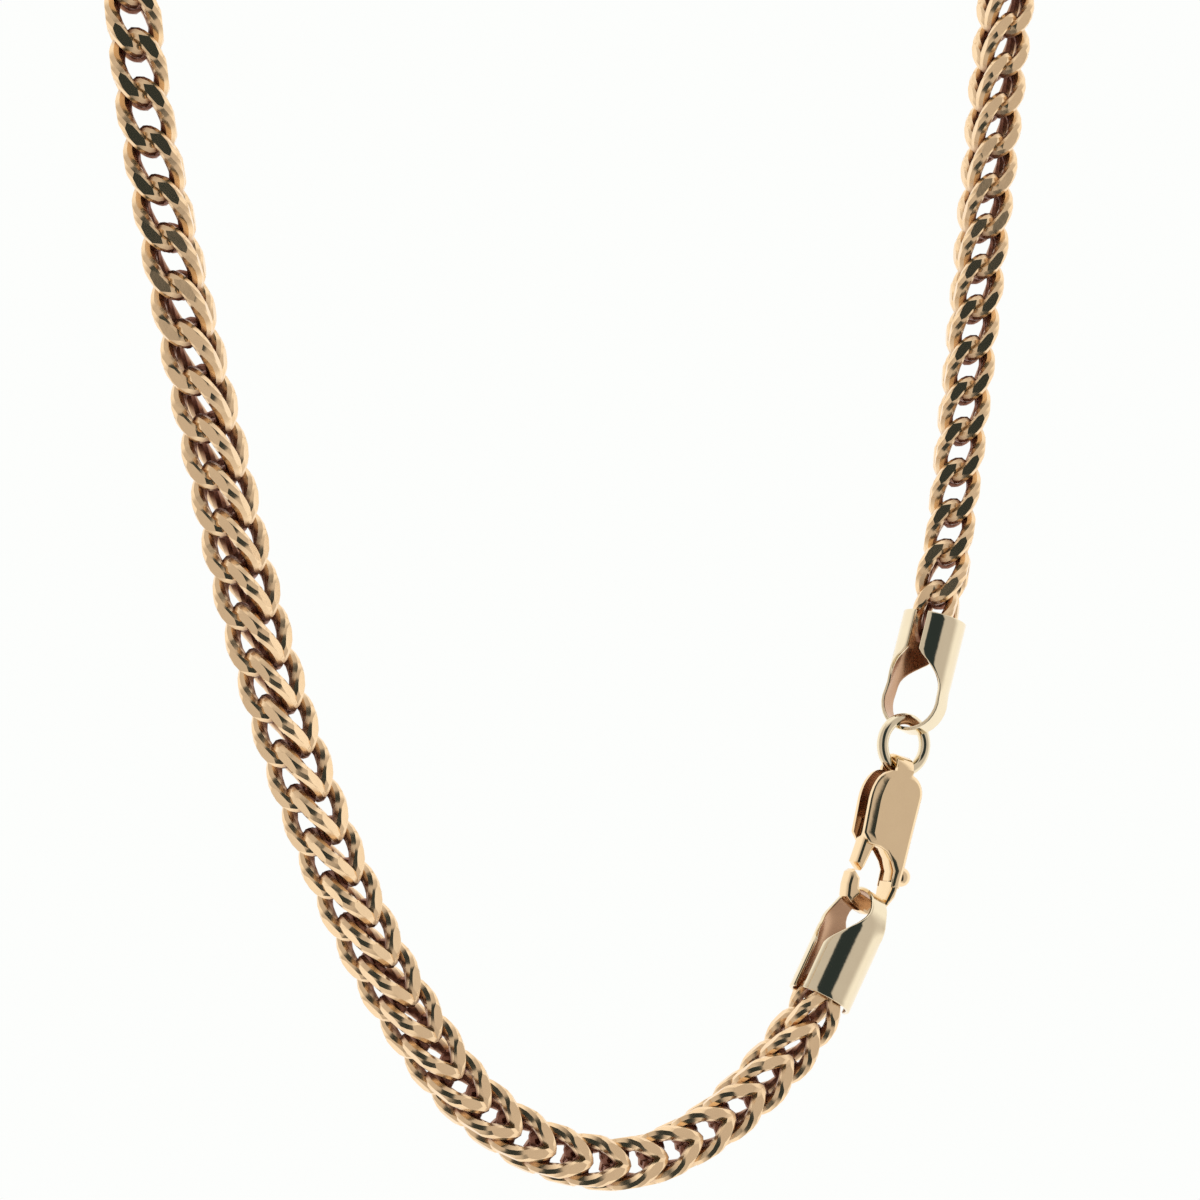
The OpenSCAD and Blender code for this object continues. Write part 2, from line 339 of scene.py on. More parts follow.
class FinishSettings(bpy.types.PropertyGroup):
    """Colours of the golds."""

    chain: FloatVectorProperty(
        name="Chain", description="Reddish yellow gold of the links",
        default=(0.93, 0.7, 0.44), subtype="COLOR", min=0, max=1)
    clasp: FloatVectorProperty(
        name="Clasp", description="Gold of the clasp, its lever and its rivet",
        default=(0.92, 0.72, 0.46), subtype="COLOR", min=0, max=1)
    pale: FloatVectorProperty(
        name="Ring and caps", description="Paler gold of the ring and the caps",
        default=(0.85, 0.76, 0.56), subtype="COLOR", min=0, max=1)
    # Darker, browner gold of the folded sheet's inner side, partly duller metal and partly painted
    # shade; also the clouds' tarnish of the clasp, the ring and the caps
    dull_and_shade: FloatVectorProperty(
        name="Dull and shaded", description="Duller gold on the inner side of folded sheet",
        default=(0.55, 0.35, 0.22), subtype="COLOR", min=0, max=1)
    # Brown of the clouds' tarnish, and of the painted shade that darkens the links' hollows
    patina_and_shade: FloatVectorProperty(
        name="Patina and shade", description="Brown on what polishing can't reach",
        default=(0.28, 0.13, 0.09), subtype="COLOR", min=0, max=1)


class StageSettings(bpy.types.PropertyGroup):
    """The floor, the light and the camera."""

    backdrop: FloatVectorProperty(
        name="Backdrop", description="Colour of the floor and of what is seen behind the necklace",
        default=(0.98, 0.99, 0.975), subtype="COLOR", min=0)
    light: FloatVectorProperty(
        name="Light", description="Light from all round",
        default=(1.12, 1.09, 1.05), subtype="COLOR", min=0)
    warm_light: FloatVectorProperty(
        name="Warm light", description="Weaker light from the camera's side",
        default=(0.66, 0.61, 0.57), subtype="COLOR", min=0)
    dark: FloatVectorProperty(
        name="Dark", description="Dark patch behind the camera, which the flat sides mirror",
        default=(0.03, 0.042, 0.045), subtype="COLOR", min=0)
    floor_height: FloatProperty(
        name="Floor height", description="Height of the floor under the hanging loop",
        default=-0.2, unit="LENGTH", precision=3)
    floor_radius: FloatProperty(
        name="Floor radius", description="Radius of the round floor",
        default=3, unit="LENGTH")
    look_at: FloatVectorProperty(
        name="Look at", description="Point in the middle of the picture",
        default=(0, -0.063, -0.122), subtype="TRANSLATION", unit="LENGTH", precision=4)
    azimuth: FloatProperty(
        name="Azimuth", description="Camera's angle round the necklace from the front",
        default=math.radians(-31), subtype="ANGLE")
    elevation: FloatProperty(
        name="Elevation", description="Camera's angle above the horizon",
        default=math.radians(-1), subtype="ANGLE")
    distance: FloatProperty(
        name="Distance", description="Distance from the camera to the middle of the picture",
        default=0.249, unit="LENGTH", precision=4)
    field_of_view: FloatProperty(
        name="Field of view", description="Camera's angle of view",
        default=math.radians(22), subtype="ANGLE")


# Curves


def ramp(value, start, end):
    """How far the value is from start to end, between 0 and 1."""
    return min(max((value - start) / (end - start), 0), 1)


def ease(share):
    """The share with a soft start and end."""
    return share * share * (3 - 2 * share)


def smoothed(rows, steps, closed=False):
    """Rows of a smooth curve through the rows given, whose first three columns are a place."""
    rows = np.array(rows, float)
    if closed:
        rows = np.vstack([rows[-1:], rows, rows[:2]])
    chords = np.linalg.norm(np.diff(rows[:, :3], axis=0), axis=1)[:, None]
    slopes = np.diff(rows, axis=0) / chords
    inner = (slopes[:-1] * chords[1:] + slopes[1:] * chords[:-1]) / (chords[:-1] + chords[1:])
    rates = np.vstack([slopes[:1], inner, slopes[-1:]])
    parts = [
        hermite(rows[i], rows[i + 1], rates[i] * chords[i], rates[i + 1] * chords[i], steps)
        for i in range(len(chords))
    ]
    return np.vstack(parts[1:-1] if closed else parts + [rows[-1:]])


def hermite(start, end, leave, arrive, steps):
    """Rows from start up to, but without, end, on a cubic with those rates at its ends."""
    t = np.linspace(0, 1, steps, endpoint=False)[:, None]
    return (
        (2 * t**3 - 3 * t**2 + 1) * start + (t**3 - 2 * t**2 + t) * leave
        + (3 * t**2 - 2 * t**3) * end + (t**3 - t**2) * arrive
    )


class Route:
    """The chain's middle line, as places and frames at a distance along it."""

    def __init__(self):
        self.rows = smoothed(ROUTE, ROUTE_STEPS)
        steps = np.linalg.norm(np.diff(self.rows[:, :3], axis=0), axis=1)
        self.lengths = np.concatenate([[0], np.cumsum(steps)])
        self.length = float(self.lengths[-1])
        self.nape = float(self.lengths[ROUTE_STEPS * NAPE])

    def row(self, distance):
        """The route's five columns at a distance."""
        return np.array([np.interp(distance, self.lengths, c) for c in self.rows.T])

    def frame_at(self, distance):
        """A matrix whose axes are the two flat sides' directions and the travel."""
        row = self.row(distance)
        place = Vector(row[:3])
        travel = Vector(self.row(distance + TRAVEL_STEP)[:3]
                        - self.row(distance - TRAVEL_STEP)[:3]).normalized()
        outward = place - Vector(LOOP_MIDDLE)
        outward = (outward - outward.dot(travel) * travel).normalized()
        turn = math.radians(row[3])
        face_1 = math.cos(turn) * outward + math.sin(turn) * travel.cross(outward)
        face_2 = face_1.cross(travel)
        axes = Matrix((face_1 * row[4], face_2 * row[4], travel)).transposed()
        return Matrix.Translation(place) @ axes.to_4x4()


# Meshes


def new_piece(name, bm, materials, body, slot, *nodes):
    """An object of the mesh, smooth up to its sharp edges, which stands for the CAD nodes."""
    bmesh.ops.remove_doubles(bm, verts=bm.verts, dist=1e-7)
    bmesh.ops.recalc_face_normals(bm, faces=bm.faces)
    mesh = bpy.data.meshes.new(name)
    bm.to_mesh(mesh)
    bm.free()
    for material in materials:
        mesh.materials.append(material)
    piece = bpy.data.objects.new(name, mesh)
    bpy.context.collection.objects.link(piece)
    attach(piece, body)
    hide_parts(*nodes)
    return piece


def shade(bm, angle=SHARP):
    """Smooth faces except large ones, with edges sharper than the angle kept sharp."""
    for face in bm.faces:
        face.smooth = face.calc_area() < LARGE_FACE
    for edge in bm.edges:
        edge.smooth = edge.is_manifold and edge.calc_face_angle(0) < angle


def placed(bm, matrix):
    """Moves a whole mesh."""
    bmesh.ops.transform(bm, matrix=matrix, verts=bm.verts)
    return bm


def joined(*parts):
    """One mesh of several, which are freed."""
    whole = bmesh.new()
    for part in parts:
        mesh = bpy.data.meshes.new("part")
        part.to_mesh(mesh)
        part.free()
        whole.from_mesh(mesh)
        bpy.data.meshes.remove(mesh)
    return whole


def swept(points, radius, sides):
    """A closed tube of wire, one row of its corners turned to the chain's nearest flat side."""
    bm = bmesh.new()
    points = [Vector(p) for p in points]
    turns = [2 * math.pi * k / sides for k in range(sides)]
    loops = []
    for before, here, after in zip(points[-1:] + points[:-1], points, points[1:] + points[:1]):
        along = (after - before).normalized()
        nearest = Vector((here.x, here.y, 0)).normalized()
        out = Vector(c**3 for c in nearest)
        out = (out - out.dot(along) * along).normalized()
        side = along.cross(out)
        loops.append([bm.verts.new(here + radius * (math.cos(a) * out + math.sin(a) * side))
                      for a in turns])
    # Joined by hand, since bridging would pair other corners where the wire bends sharply
    for a, b in zip(loops, loops[1:] + loops[:1]):
        for j in range(sides):
            k = (j + 1) % sides
            bm.faces.new((a[j], a[k], b[k], b[j]))
    return bm


def filed(bm, half_width):
    """Cuts the mesh off at the chain's four flat sides and closes the cuts."""
    for x, y in ((1, 0), (-1, 0), (0, 1), (0, -1)):
        side = Vector((x, y, 0))
        cut = bmesh.ops.bisect_plane(
            bm, geom=bm.verts[:] + bm.edges[:] + bm.faces[:], dist=1e-8,
            plane_co=side * half_width, plane_no=side, clear_outer=True)
        rim = [e for e in cut["geom_cut"] if isinstance(e, bmesh.types.BMEdge)]
        bmesh.ops.holes_fill(bm, edges=rim)
    return bm


def flatten(bm, half_width):
    """Shades the filed faces flat, with crisp edges round them."""
    bmesh.ops.recalc_face_normals(bm, faces=bm.faces)
    for face in bm.faces:
        square = max(abs(face.normal.x), abs(face.normal.y)) > FILED_SQUARE
        middle = face.calc_center_median()
        if square and max(abs(middle.x), abs(middle.y)) > FILED_OUT * half_width:
            face.smooth = False
            for edge in face.edges:
                edge.smooth = False


def upright(outline, depth):
    """A plate of that outline in the XZ plane, with its depth along Y, centred."""
    bm = bmesh.new()
    face = bm.faces.new([bm.verts.new((x, -depth / 2, z)) for x, z in outline])
    made = bmesh.ops.extrude_face_region(bm, geom=[face])
    verts = [v for v in made["geom"] if isinstance(v, bmesh.types.BMVert)]
    bmesh.ops.translate(bm, vec=(0, depth, 0), verts=verts)
    bmesh.ops.recalc_face_normals(bm, faces=bm.faces)
    return bm


def rims(bm, *depths):
    """Edges that lie in the planes at those depths."""
    return [e for e in bm.edges
            if any(all(abs(v.co.y - y) < 1e-7 for v in e.verts) for y in depths)]


def eased(bm, edges, width, segments):
    """Bevels the edges."""
    bmesh.ops.bevel(bm, geom=edges, offset=width, offset_type="OFFSET", segments=segments,
                    profile=0.5, affect="EDGES", material=-1)
    return bm


# Materials


def mixed(tree, factor, first, second):
    """The colour output of a mix node; each input is a socket or a plain colour."""
    mix = tree.nodes.new("ShaderNodeMix")
    mix.data_type = "RGBA"
    tree.links.new(factor, mix.inputs[0])
    for socket, value in ((mix.inputs[6], first), (mix.inputs[7], second)):
        if isinstance(value, bpy.types.NodeSocket):
            tree.links.new(value, socket)
        else:
            socket.default_value = value
    return mix.outputs[2]


def maths(tree, operation, *values):
    """The output of a math node; each value is a socket or a number."""
    made = tree.nodes.new("ShaderNodeMath")
    made.operation = operation
    for socket, value in zip(made.inputs, values):
        if isinstance(value, bpy.types.NodeSocket):
            tree.links.new(value, socket)
        else:
            socket.default_value = value
    return made.outputs[0]


def worn_polish_and_shade():
    """The node group for cloudy, faintly dented polished metal, and for painted shade."""
    group = bpy.data.node_groups.get("Worn polish and shade")
    if group:
        return group
    group = bpy.data.node_groups.new("Worn polish and shade", "ShaderNodeTree")
    for name, kind in (("Colour", "Color"), ("Tarnish and shade", "Color"), ("Roughness", "Float"),
                       ("Haze", "Float"), ("Inside", "Float")):
        group.interface.new_socket(name, in_out="INPUT", socket_type="NodeSocket" + kind)
    for name, kind in (("Colour", "Color"), ("Roughness", "Float"), ("Height", "Float")):
        group.interface.new_socket(name, in_out="OUTPUT", socket_type="NodeSocket" + kind)
    nodes, links = group.nodes, group.links
    given, result = nodes.new("NodeGroupInput"), nodes.new("NodeGroupOutput")
    place = nodes.new("ShaderNodeTexCoord")
    clouds, dents = nodes.new("ShaderNodeTexNoise"), nodes.new("ShaderNodeTexNoise")
    for noise, (scale, detail) in ((clouds, CLOUDS), (dents, DENTS)):
        noise.inputs["Scale"].default_value = scale
        noise.inputs["Detail"].default_value = detail
        links.new(place.outputs["Object"], noise.inputs["Vector"])
    cloud = maths(group, "MULTIPLY", clouds.outputs["Fac"], CLOUD_TARNISH)
    # Painted shade: the Painted shade input, like the clouds' tarnish, mixes the colour towards
    # the tarnish-and-shade colour and roughens it
    stain_and_shade = maths(group, "MAXIMUM", cloud, given.outputs["Inside"])
    links.new(mixed(group, stain_and_shade, given.outputs["Colour"], given.outputs["Tarnish and shade"]),
              result.inputs["Colour"])
    hazy = maths(group, "MULTIPLY_ADD", given.outputs["Haze"], clouds.outputs["Fac"],
                 given.outputs["Roughness"])
    rough = maths(group, "MULTIPLY_ADD", given.outputs["Inside"], SHADE_ROUGHNESS, hazy)
    links.new(rough, result.inputs["Roughness"])
    links.new(dents.outputs["Fac"], result.inputs["Height"])
    return group


def gold(name):
    """One of the golds, polished and a little uneven, made when it is first asked for."""
    made = bpy.data.materials.get(name)
    if made:
        return made
    finish = bpy.context.scene.necklace_finish
    colour, tarnish_and_shade, roughness, haze, inside_tarnished = GOLDS[name]
    made = bpy.data.materials.new(name)
    made.use_nodes = True
    nodes, links = made.node_tree.nodes, made.node_tree.links
    shader = nodes["Principled BSDF"]
    shader.inputs["Metallic"].default_value = 1
    polish = nodes.new("ShaderNodeGroup")
    polish.node_tree = worn_polish_and_shade()
    polish.inputs["Colour"].default_value = (*getattr(finish, colour), 1)
    polish.inputs["Tarnish and shade"].default_value = (*getattr(finish, tarnish_and_shade), 1)
    polish.inputs["Roughness"].default_value = roughness
    polish.inputs["Haze"].default_value = haze
    # Painted shade: the links' attribute darkens the chain's gold in the chain's hollows
    if inside_tarnished:
        inside = nodes.new("ShaderNodeAttribute")
        inside.attribute_name = "inside"
        links.new(inside.outputs["Fac"], polish.inputs["Inside"])
    bump = nodes.new("ShaderNodeBump")
    bump.inputs["Strength"].default_value = DENT_STRENGTH
    bump.inputs["Distance"].default_value = DENT_DEPTH
    links.new(polish.outputs["Height"], bump.inputs["Height"])
    links.new(bump.outputs["Normal"], shader.inputs["Normal"])
    links.new(polish.outputs["Colour"], shader.inputs["Base Color"])
    links.new(polish.outputs["Roughness"], shader.inputs["Roughness"])
    return made


# Operators


class NECKLACE_OT_chain(bpy.types.Operator):
    """Build the two pieces of the chain from their links"""

    bl_idname = "necklace.chain"
    bl_label = "Chain"

    def execute(self, context):
        settings = context.scene.necklace_chain
        route = Route()
        link = self.link(settings)
        count = int((route.length - settings.first_link) / settings.pitch) + 1
        pieces = {"right": bmesh.new(), "left": bmesh.new()}
        half_turn = Matrix.Rotation(math.pi, 4, "X")
        for k in range(count):
            for shift, turn in ((0, Matrix()), (settings.pair_shift, half_turn)):
                distance = settings.first_link + k * settings.pitch + shift
                if distance > route.length - LAST_LINK:
                    continue
                side = "right" if distance < route.nape else "left"
                copy = link.copy()
                copy.transform(route.frame_at(distance) @ turn)
                pieces[side].from_mesh(copy)
                bpy.data.meshes.remove(copy)
        bpy.data.meshes.remove(link)
        for side, bm in pieces.items():
            new_piece("links_" + side, bm, [gold("Chain gold")], BODY, "chain_gold",
                      "chain_" + side)
        return {"FINISHED"}

    @staticmethod
    def link(settings):
        """One link: a bow of round wire folded to a V, filed flat on the chain's four sides."""
        mirrored = [(-x, y, z) for x, y, z in HALF_BOW[-2:0:-1]]
        bow = smoothed(HALF_BOW + mirrored, settings.bow_steps, closed=True)
        bm = filed(swept(bow, settings.wire / 2, settings.wire_sides), settings.half_width)
        shade(bm)
        flatten(bm, settings.half_width)
        # Painted shade: nearer the chain's middle line, where shade falls, the gold is darkened
        # towards the patina brown
        inside = bm.verts.layers.float.new("inside")
        for vert in bm.verts:
            vert[inside] = ramp(vert.co.xy.length, UNSHADED, FULLY_SHADED)
        mesh = bpy.data.meshes.new("link")
        bm.to_mesh(mesh)
        bm.free()
        return mesh


class NECKLACE_OT_jump_ring(bpy.types.Operator):
    """Build the jump ring"""

    bl_idname = "necklace.jump_ring"
    bl_label = "Jump ring"

    def execute(self, context):
        sizes = context.scene.necklace_hardware
        middle = (sizes.ring_diameter - sizes.ring_wire) / 2
        bm = bmesh.new()
        bmesh.ops.create_circle(
            bm, segments=RING_SIDES, radius=sizes.ring_wire / 2,
            matrix=Matrix.Translation((middle, 0, 0)))
        bmesh.ops.spin(
            bm, geom=bm.verts[:] + bm.edges[:], cent=(0, 0, 0), axis=(0, 1, 0), dvec=(0, 0, 0),
            angle=2 * math.pi, steps=RING_STEPS, use_merge=True)
        shade(bm)
        placed(bm, Matrix.Translation(RING_AT))
        new_piece("ring", bm, [gold("Pale gold")], BODY, "pale_gold", "jump_ring")
        return {"FINISHED"}


def cap_matrix(at, end, turn):
    """Stands a cap at a place, towards another, turned about its own length."""
    towards = Vector(end) - Vector(at)
    return (Matrix.Translation(at) @ Matrix.Rotation(math.atan2(towards.x, towards.z), 4, "Y")
            @ Matrix.Rotation(turn, 4, "Z"))


def clasp_matrix(sizes):
    """Puts a shape that is built in the clasp's frame in its place."""
    drop = ((sizes.ring_diameter - sizes.ring_wire) / 2 + sizes.clasp_depth / 2 - sizes.sheet
            - sizes.ring_wire / 2 - sizes.neck_gap)
    down = Vector((-math.sin(sizes.neck_angle), 0, -math.cos(sizes.neck_angle)))
    fold = Vector(RING_AT) + drop * down
    up = Vector((math.sin(sizes.clasp_tilt), 0, math.cos(sizes.clasp_tilt)))
    return (Matrix.Translation(fold + up * sizes.clasp_depth / 2)
            @ Matrix.Rotation(sizes.clasp_tilt, 4, "Y"))


class NECKLACE_OT_end_caps(bpy.types.Operator):
    """Build the two folded sheet caps on the chain's ends"""

    bl_idname = "necklace.end_caps"
    bl_label = "End caps"

    def execute(self, context):
        sizes = context.scene.necklace_hardware
        inner = sizes.ring_diameter / 2 - sizes.ring_wire - sizes.band_gap
        rise = math.sqrt(inner**2 - sizes.band_width**2 / 4) - sizes.sheet
        top = Vector(ROUTE[0][:3])
        above = Vector(RING_AT) + rise * (top - Vector(RING_AT)).normalized()
        below = clasp_matrix(sizes) @ Vector((LOWER_BAND[0], 0, LOWER_BAND[1]))
        self.cap(sizes, "upper", cap_matrix(above, top, sizes.upper_turn))
        self.cap(sizes, "lower", cap_matrix(below, ROUTE[-1][:3], sizes.lower_turn))
        return {"FINISHED"}

    @staticmethod
    def half_strip(sizes, which, height):
        """Half the width of a cap's folded strip at a height over its bend."""
        narrow = sizes.band_width / 2
        wide = math.sqrt(sizes.cap_diameter**2 - sizes.cap_slot**2) / 2
        return narrow + (wide - narrow) * ease(ramp(height, *CAP_WIDENS[which]))

    def cap(self, sizes, which, matrix):
        """A strip of sheet, bent round at its middle and rolled to two shells at its ends."""
        radius = sizes.cap_diameter / 2
        bend = [(radius - radius * math.cos(a), radius * math.sin(a))
                for a in np.linspace(0, math.pi / 2, BEND_ROWS)]
        wall = [(z, radius) for z in np.linspace(radius, sizes.cap_length, WALL_ROWS)[1:]]
        side = bend + wall
        path = [(z, y, 1) for z, y in side[::-1]] + [(z, y, -1) for z, y in side[1:]]
        bm = bmesh.new()
        strip = bmesh.ops.create_grid(
            bm, x_segments=CAP_ACROSS - 1, y_segments=len(path) - 1, size=1)
        for place, vert in enumerate(strip["verts"]):
            z, y, sign = path[place // CAP_ACROSS]
            half = self.half_strip(sizes, which, z)
            if z < radius:
                vert.co = (vert.co.x * half, sign * y, z)
            else:
                angle = vert.co.x * math.asin(min(half / radius, 1))
                flat = 1 - ramp(z, radius, radius + CAP_ROUNDS)
                depth = radius * (flat + (1 - flat) * math.cos(angle))
                vert.co = (radius * math.sin(angle), sign * depth, z)
        for face in bm.faces:
            face.smooth = True
        placed(bm, matrix)
        piece = new_piece("cap_" + which, bm, [gold("Pale gold"), gold("Inner gold")],
                          BODY, "pale_gold", "end_cap_" + which)
        thick = piece.modifiers.new("Sheet", "SOLIDIFY")
        thick.thickness = sizes.sheet
        thick.offset = -1
        # The inner side gets the darker inner gold, partly painted shade
        thick.material_offset = 1
        thick.use_even_offset = True
        edge = piece.modifiers.new("Edge", "BEVEL")
        edge.width = CAP_EDGE
        edge.segments = 2


class NECKLACE_OT_clasp(bpy.types.Operator):
    """Build the clasp's body, its lever and its rivet"""

    bl_idname = "necklace.clasp"
    bl_label = "Clasp"

    def execute(self, context):
        sizes = context.scene.necklace_hardware
        place = clasp_matrix(sizes)
        both = [gold("Clasp gold"), gold("Inner gold")]
        bodywork = placed(joined(*self.body(sizes)), place)
        new_piece("clasp", bodywork, both, BODY, "pale_gold", "clasp_body")
        lever = placed(joined(*self.lever(sizes)), place)
        new_piece("gate", lever, both, LEVER_BODY, "pale_gold", "clasp_lever")
        pin = placed(self.pin(sizes), place)
        new_piece("rivet", pin, both[:1], BODY, "pale_gold", "lever_pin")
        return {"FINISHED"}

    @staticmethod
    def plate_outline(sizes):
        """Outline of a plate, from the right side over the neck to the spine's foot."""
        half = sizes.neck_width / 2
        turns = np.linspace(0, math.pi / 2, CORNER_STEPS)
        right = [(half + (PLATE_RIGHT - half) * math.cos(a),
                  RIGHT_CORNER + (SHOULDER - RIGHT_CORNER) * math.sin(a)) for a in turns]
        left = [(-half - (PLATE_LEFT - half) * math.sin(a),
                 LEFT_CORNER + (SHOULDER - LEFT_CORNER) * math.cos(a)) for a in turns]
        return right + [(half, NECK_END), (-half, NECK_END)] + left + PLATE_FOOT

    def body(self, sizes):
        """The plates, the neck's fold, the spine and the hook."""
        half = sizes.clasp_depth / 2
        parts = []
        for sign in (-1, 1):
            plate = upright(self.plate_outline(sizes), sizes.sheet)
            self.dome(plate, sign, sizes.neck_width / 2)
            shade(plate, PLATE_SHARP)
            bmesh.ops.translate(plate, vec=(0, sign * (half - sizes.sheet / 2), 0),
                                verts=plate.verts)
            # Faces towards the other plate get the darker inner gold, partly painted shade
            for face in plate.faces:
                if face.normal.y * sign < -0.5:
                    face.material_index = 1
            parts.append(plate)
        spine = upright([*SPINE, *((x - sizes.sheet, z) for x, z in reversed(SPINE))],
                        sizes.clasp_depth - 2 * SPINE_ROOM)
        shade(spine)
        parts.append(spine)
        hook = upright(HOOK, sizes.hook_depth)
        eased(hook, rims(hook, -sizes.hook_depth / 2, sizes.hook_depth / 2), sizes.chamfer, 2)
        root = HOOK_ROOT * sizes.clasp_depth / sizes.hook_depth
        for vert in hook.verts:
            if vert.co.x > 0:
                vert.co.y *= 1 + (root - 1) * ease(ramp(vert.co.z, *HOOK_SPREADS))
        shade(hook, SOLID_SHARP)
        parts.append(hook)
        parts.append(self.neck(sizes))
        return parts

    @staticmethod
    def dome(plate, sign, neck):
        """Rounds a plate's rim, and bends its left side back, except beside the neck."""
        front = max(plate.faces, key=lambda face: face.normal.y * sign)

        def leftness(vert):
            """How far the plate has bent to its left side at a vertex."""
            return ramp(-vert.co.x, *PLATE_BENDS)

        def set_back(verts, right, left):
            """Moves vertices towards the other plate, by one distance right and one left."""
            for vert in verts:
                if abs(vert.co.x) > neck + FLAT_PAST_NECK or vert.co.z < FLAT_BY_NECK:
                    share = leftness(vert)
                    vert.co.y -= sign * ((1 - share) * right + share * left)

        spots = [{tuple(v.co) for v in front.verts}]
        for width, _, _ in RIM[1:]:
            bmesh.ops.inset_region(plate, faces=[front], thickness=width,
                                   use_even_offset=True, use_boundary=True)
            spots.append({tuple(v.co) for v in front.verts})
        rings = [[v for v in plate.verts if tuple(v.co) in ring] for ring in spots]
        back = [v for v in plate.verts if v.co.y * sign < 0]
        for ring, (_, right, left) in zip(rings, RIM):
            set_back(ring, right, left)
        for vert in rings[-1]:
            vert.co.x += BEND_WIDTH * leftness(vert)
        set_back(back, 0, INNER_BEND)

    @staticmethod
    def neck(sizes):
        """The neck's fold over the ring, the upper half of a tube along X."""
        radius = sizes.clasp_depth / 2
        half = sizes.neck_width / 2
        bm = bmesh.new()
        face = bm.faces.new([bm.verts.new((x, y, 0)) for x, y in (
            (-half, radius), (half, radius), (half, radius - sizes.sheet),
            (-half, radius - sizes.sheet))])
        bmesh.ops.spin(bm, geom=[face, *face.verts, *face.edges], cent=(0, 0, 0),
                       axis=(1, 0, 0), dvec=(0, 0, 0), angle=math.pi, steps=NECK_STEPS)
        bmesh.ops.recalc_face_normals(bm, faces=bm.faces)
        sides = [e for e in bm.edges if e.is_manifold and e.calc_face_angle(0) > NECK_SHARP
                 and abs(e.verts[0].co.x - e.verts[1].co.x) < 1e-9]
        eased(bm, sides, NECK_BEVEL, 2)
        shade(bm)
        return placed(bm, Matrix.Translation((0, 0, -radius)))

    @staticmethod
    def lever(sizes):
        """The lever's arm and its knob."""
        arm = upright(LEVER, sizes.hook_depth)
        eased(arm, rims(arm, -sizes.hook_depth / 2, sizes.hook_depth / 2), sizes.chamfer, 2)
        shade(arm, SOLID_SHARP)
        knob = bmesh.new()
        bmesh.ops.create_uvsphere(
            knob, u_segments=KNOB_ROUND, v_segments=KNOB_ALONG, radius=sizes.knob / 2,
            matrix=Matrix.Translation((KNOB[0], 0, KNOB[1])))
        shade(knob)
        return arm, knob

    @staticmethod
    def pin(sizes):
        """The rivet through both plates."""
        bm = bmesh.new()
        bmesh.ops.create_cone(
            bm, cap_ends=True, segments=RIVET_SIDES, radius1=sizes.pin / 2, radius2=sizes.pin / 2,
            depth=sizes.clasp_depth - 2 * RIVET_SUNK,
            matrix=(Matrix.Translation((PIVOT[0], 0, PIVOT[1]))
                    @ Matrix.Rotation(math.pi / 2, 4, "X")))
        shade(bm)
        return bm


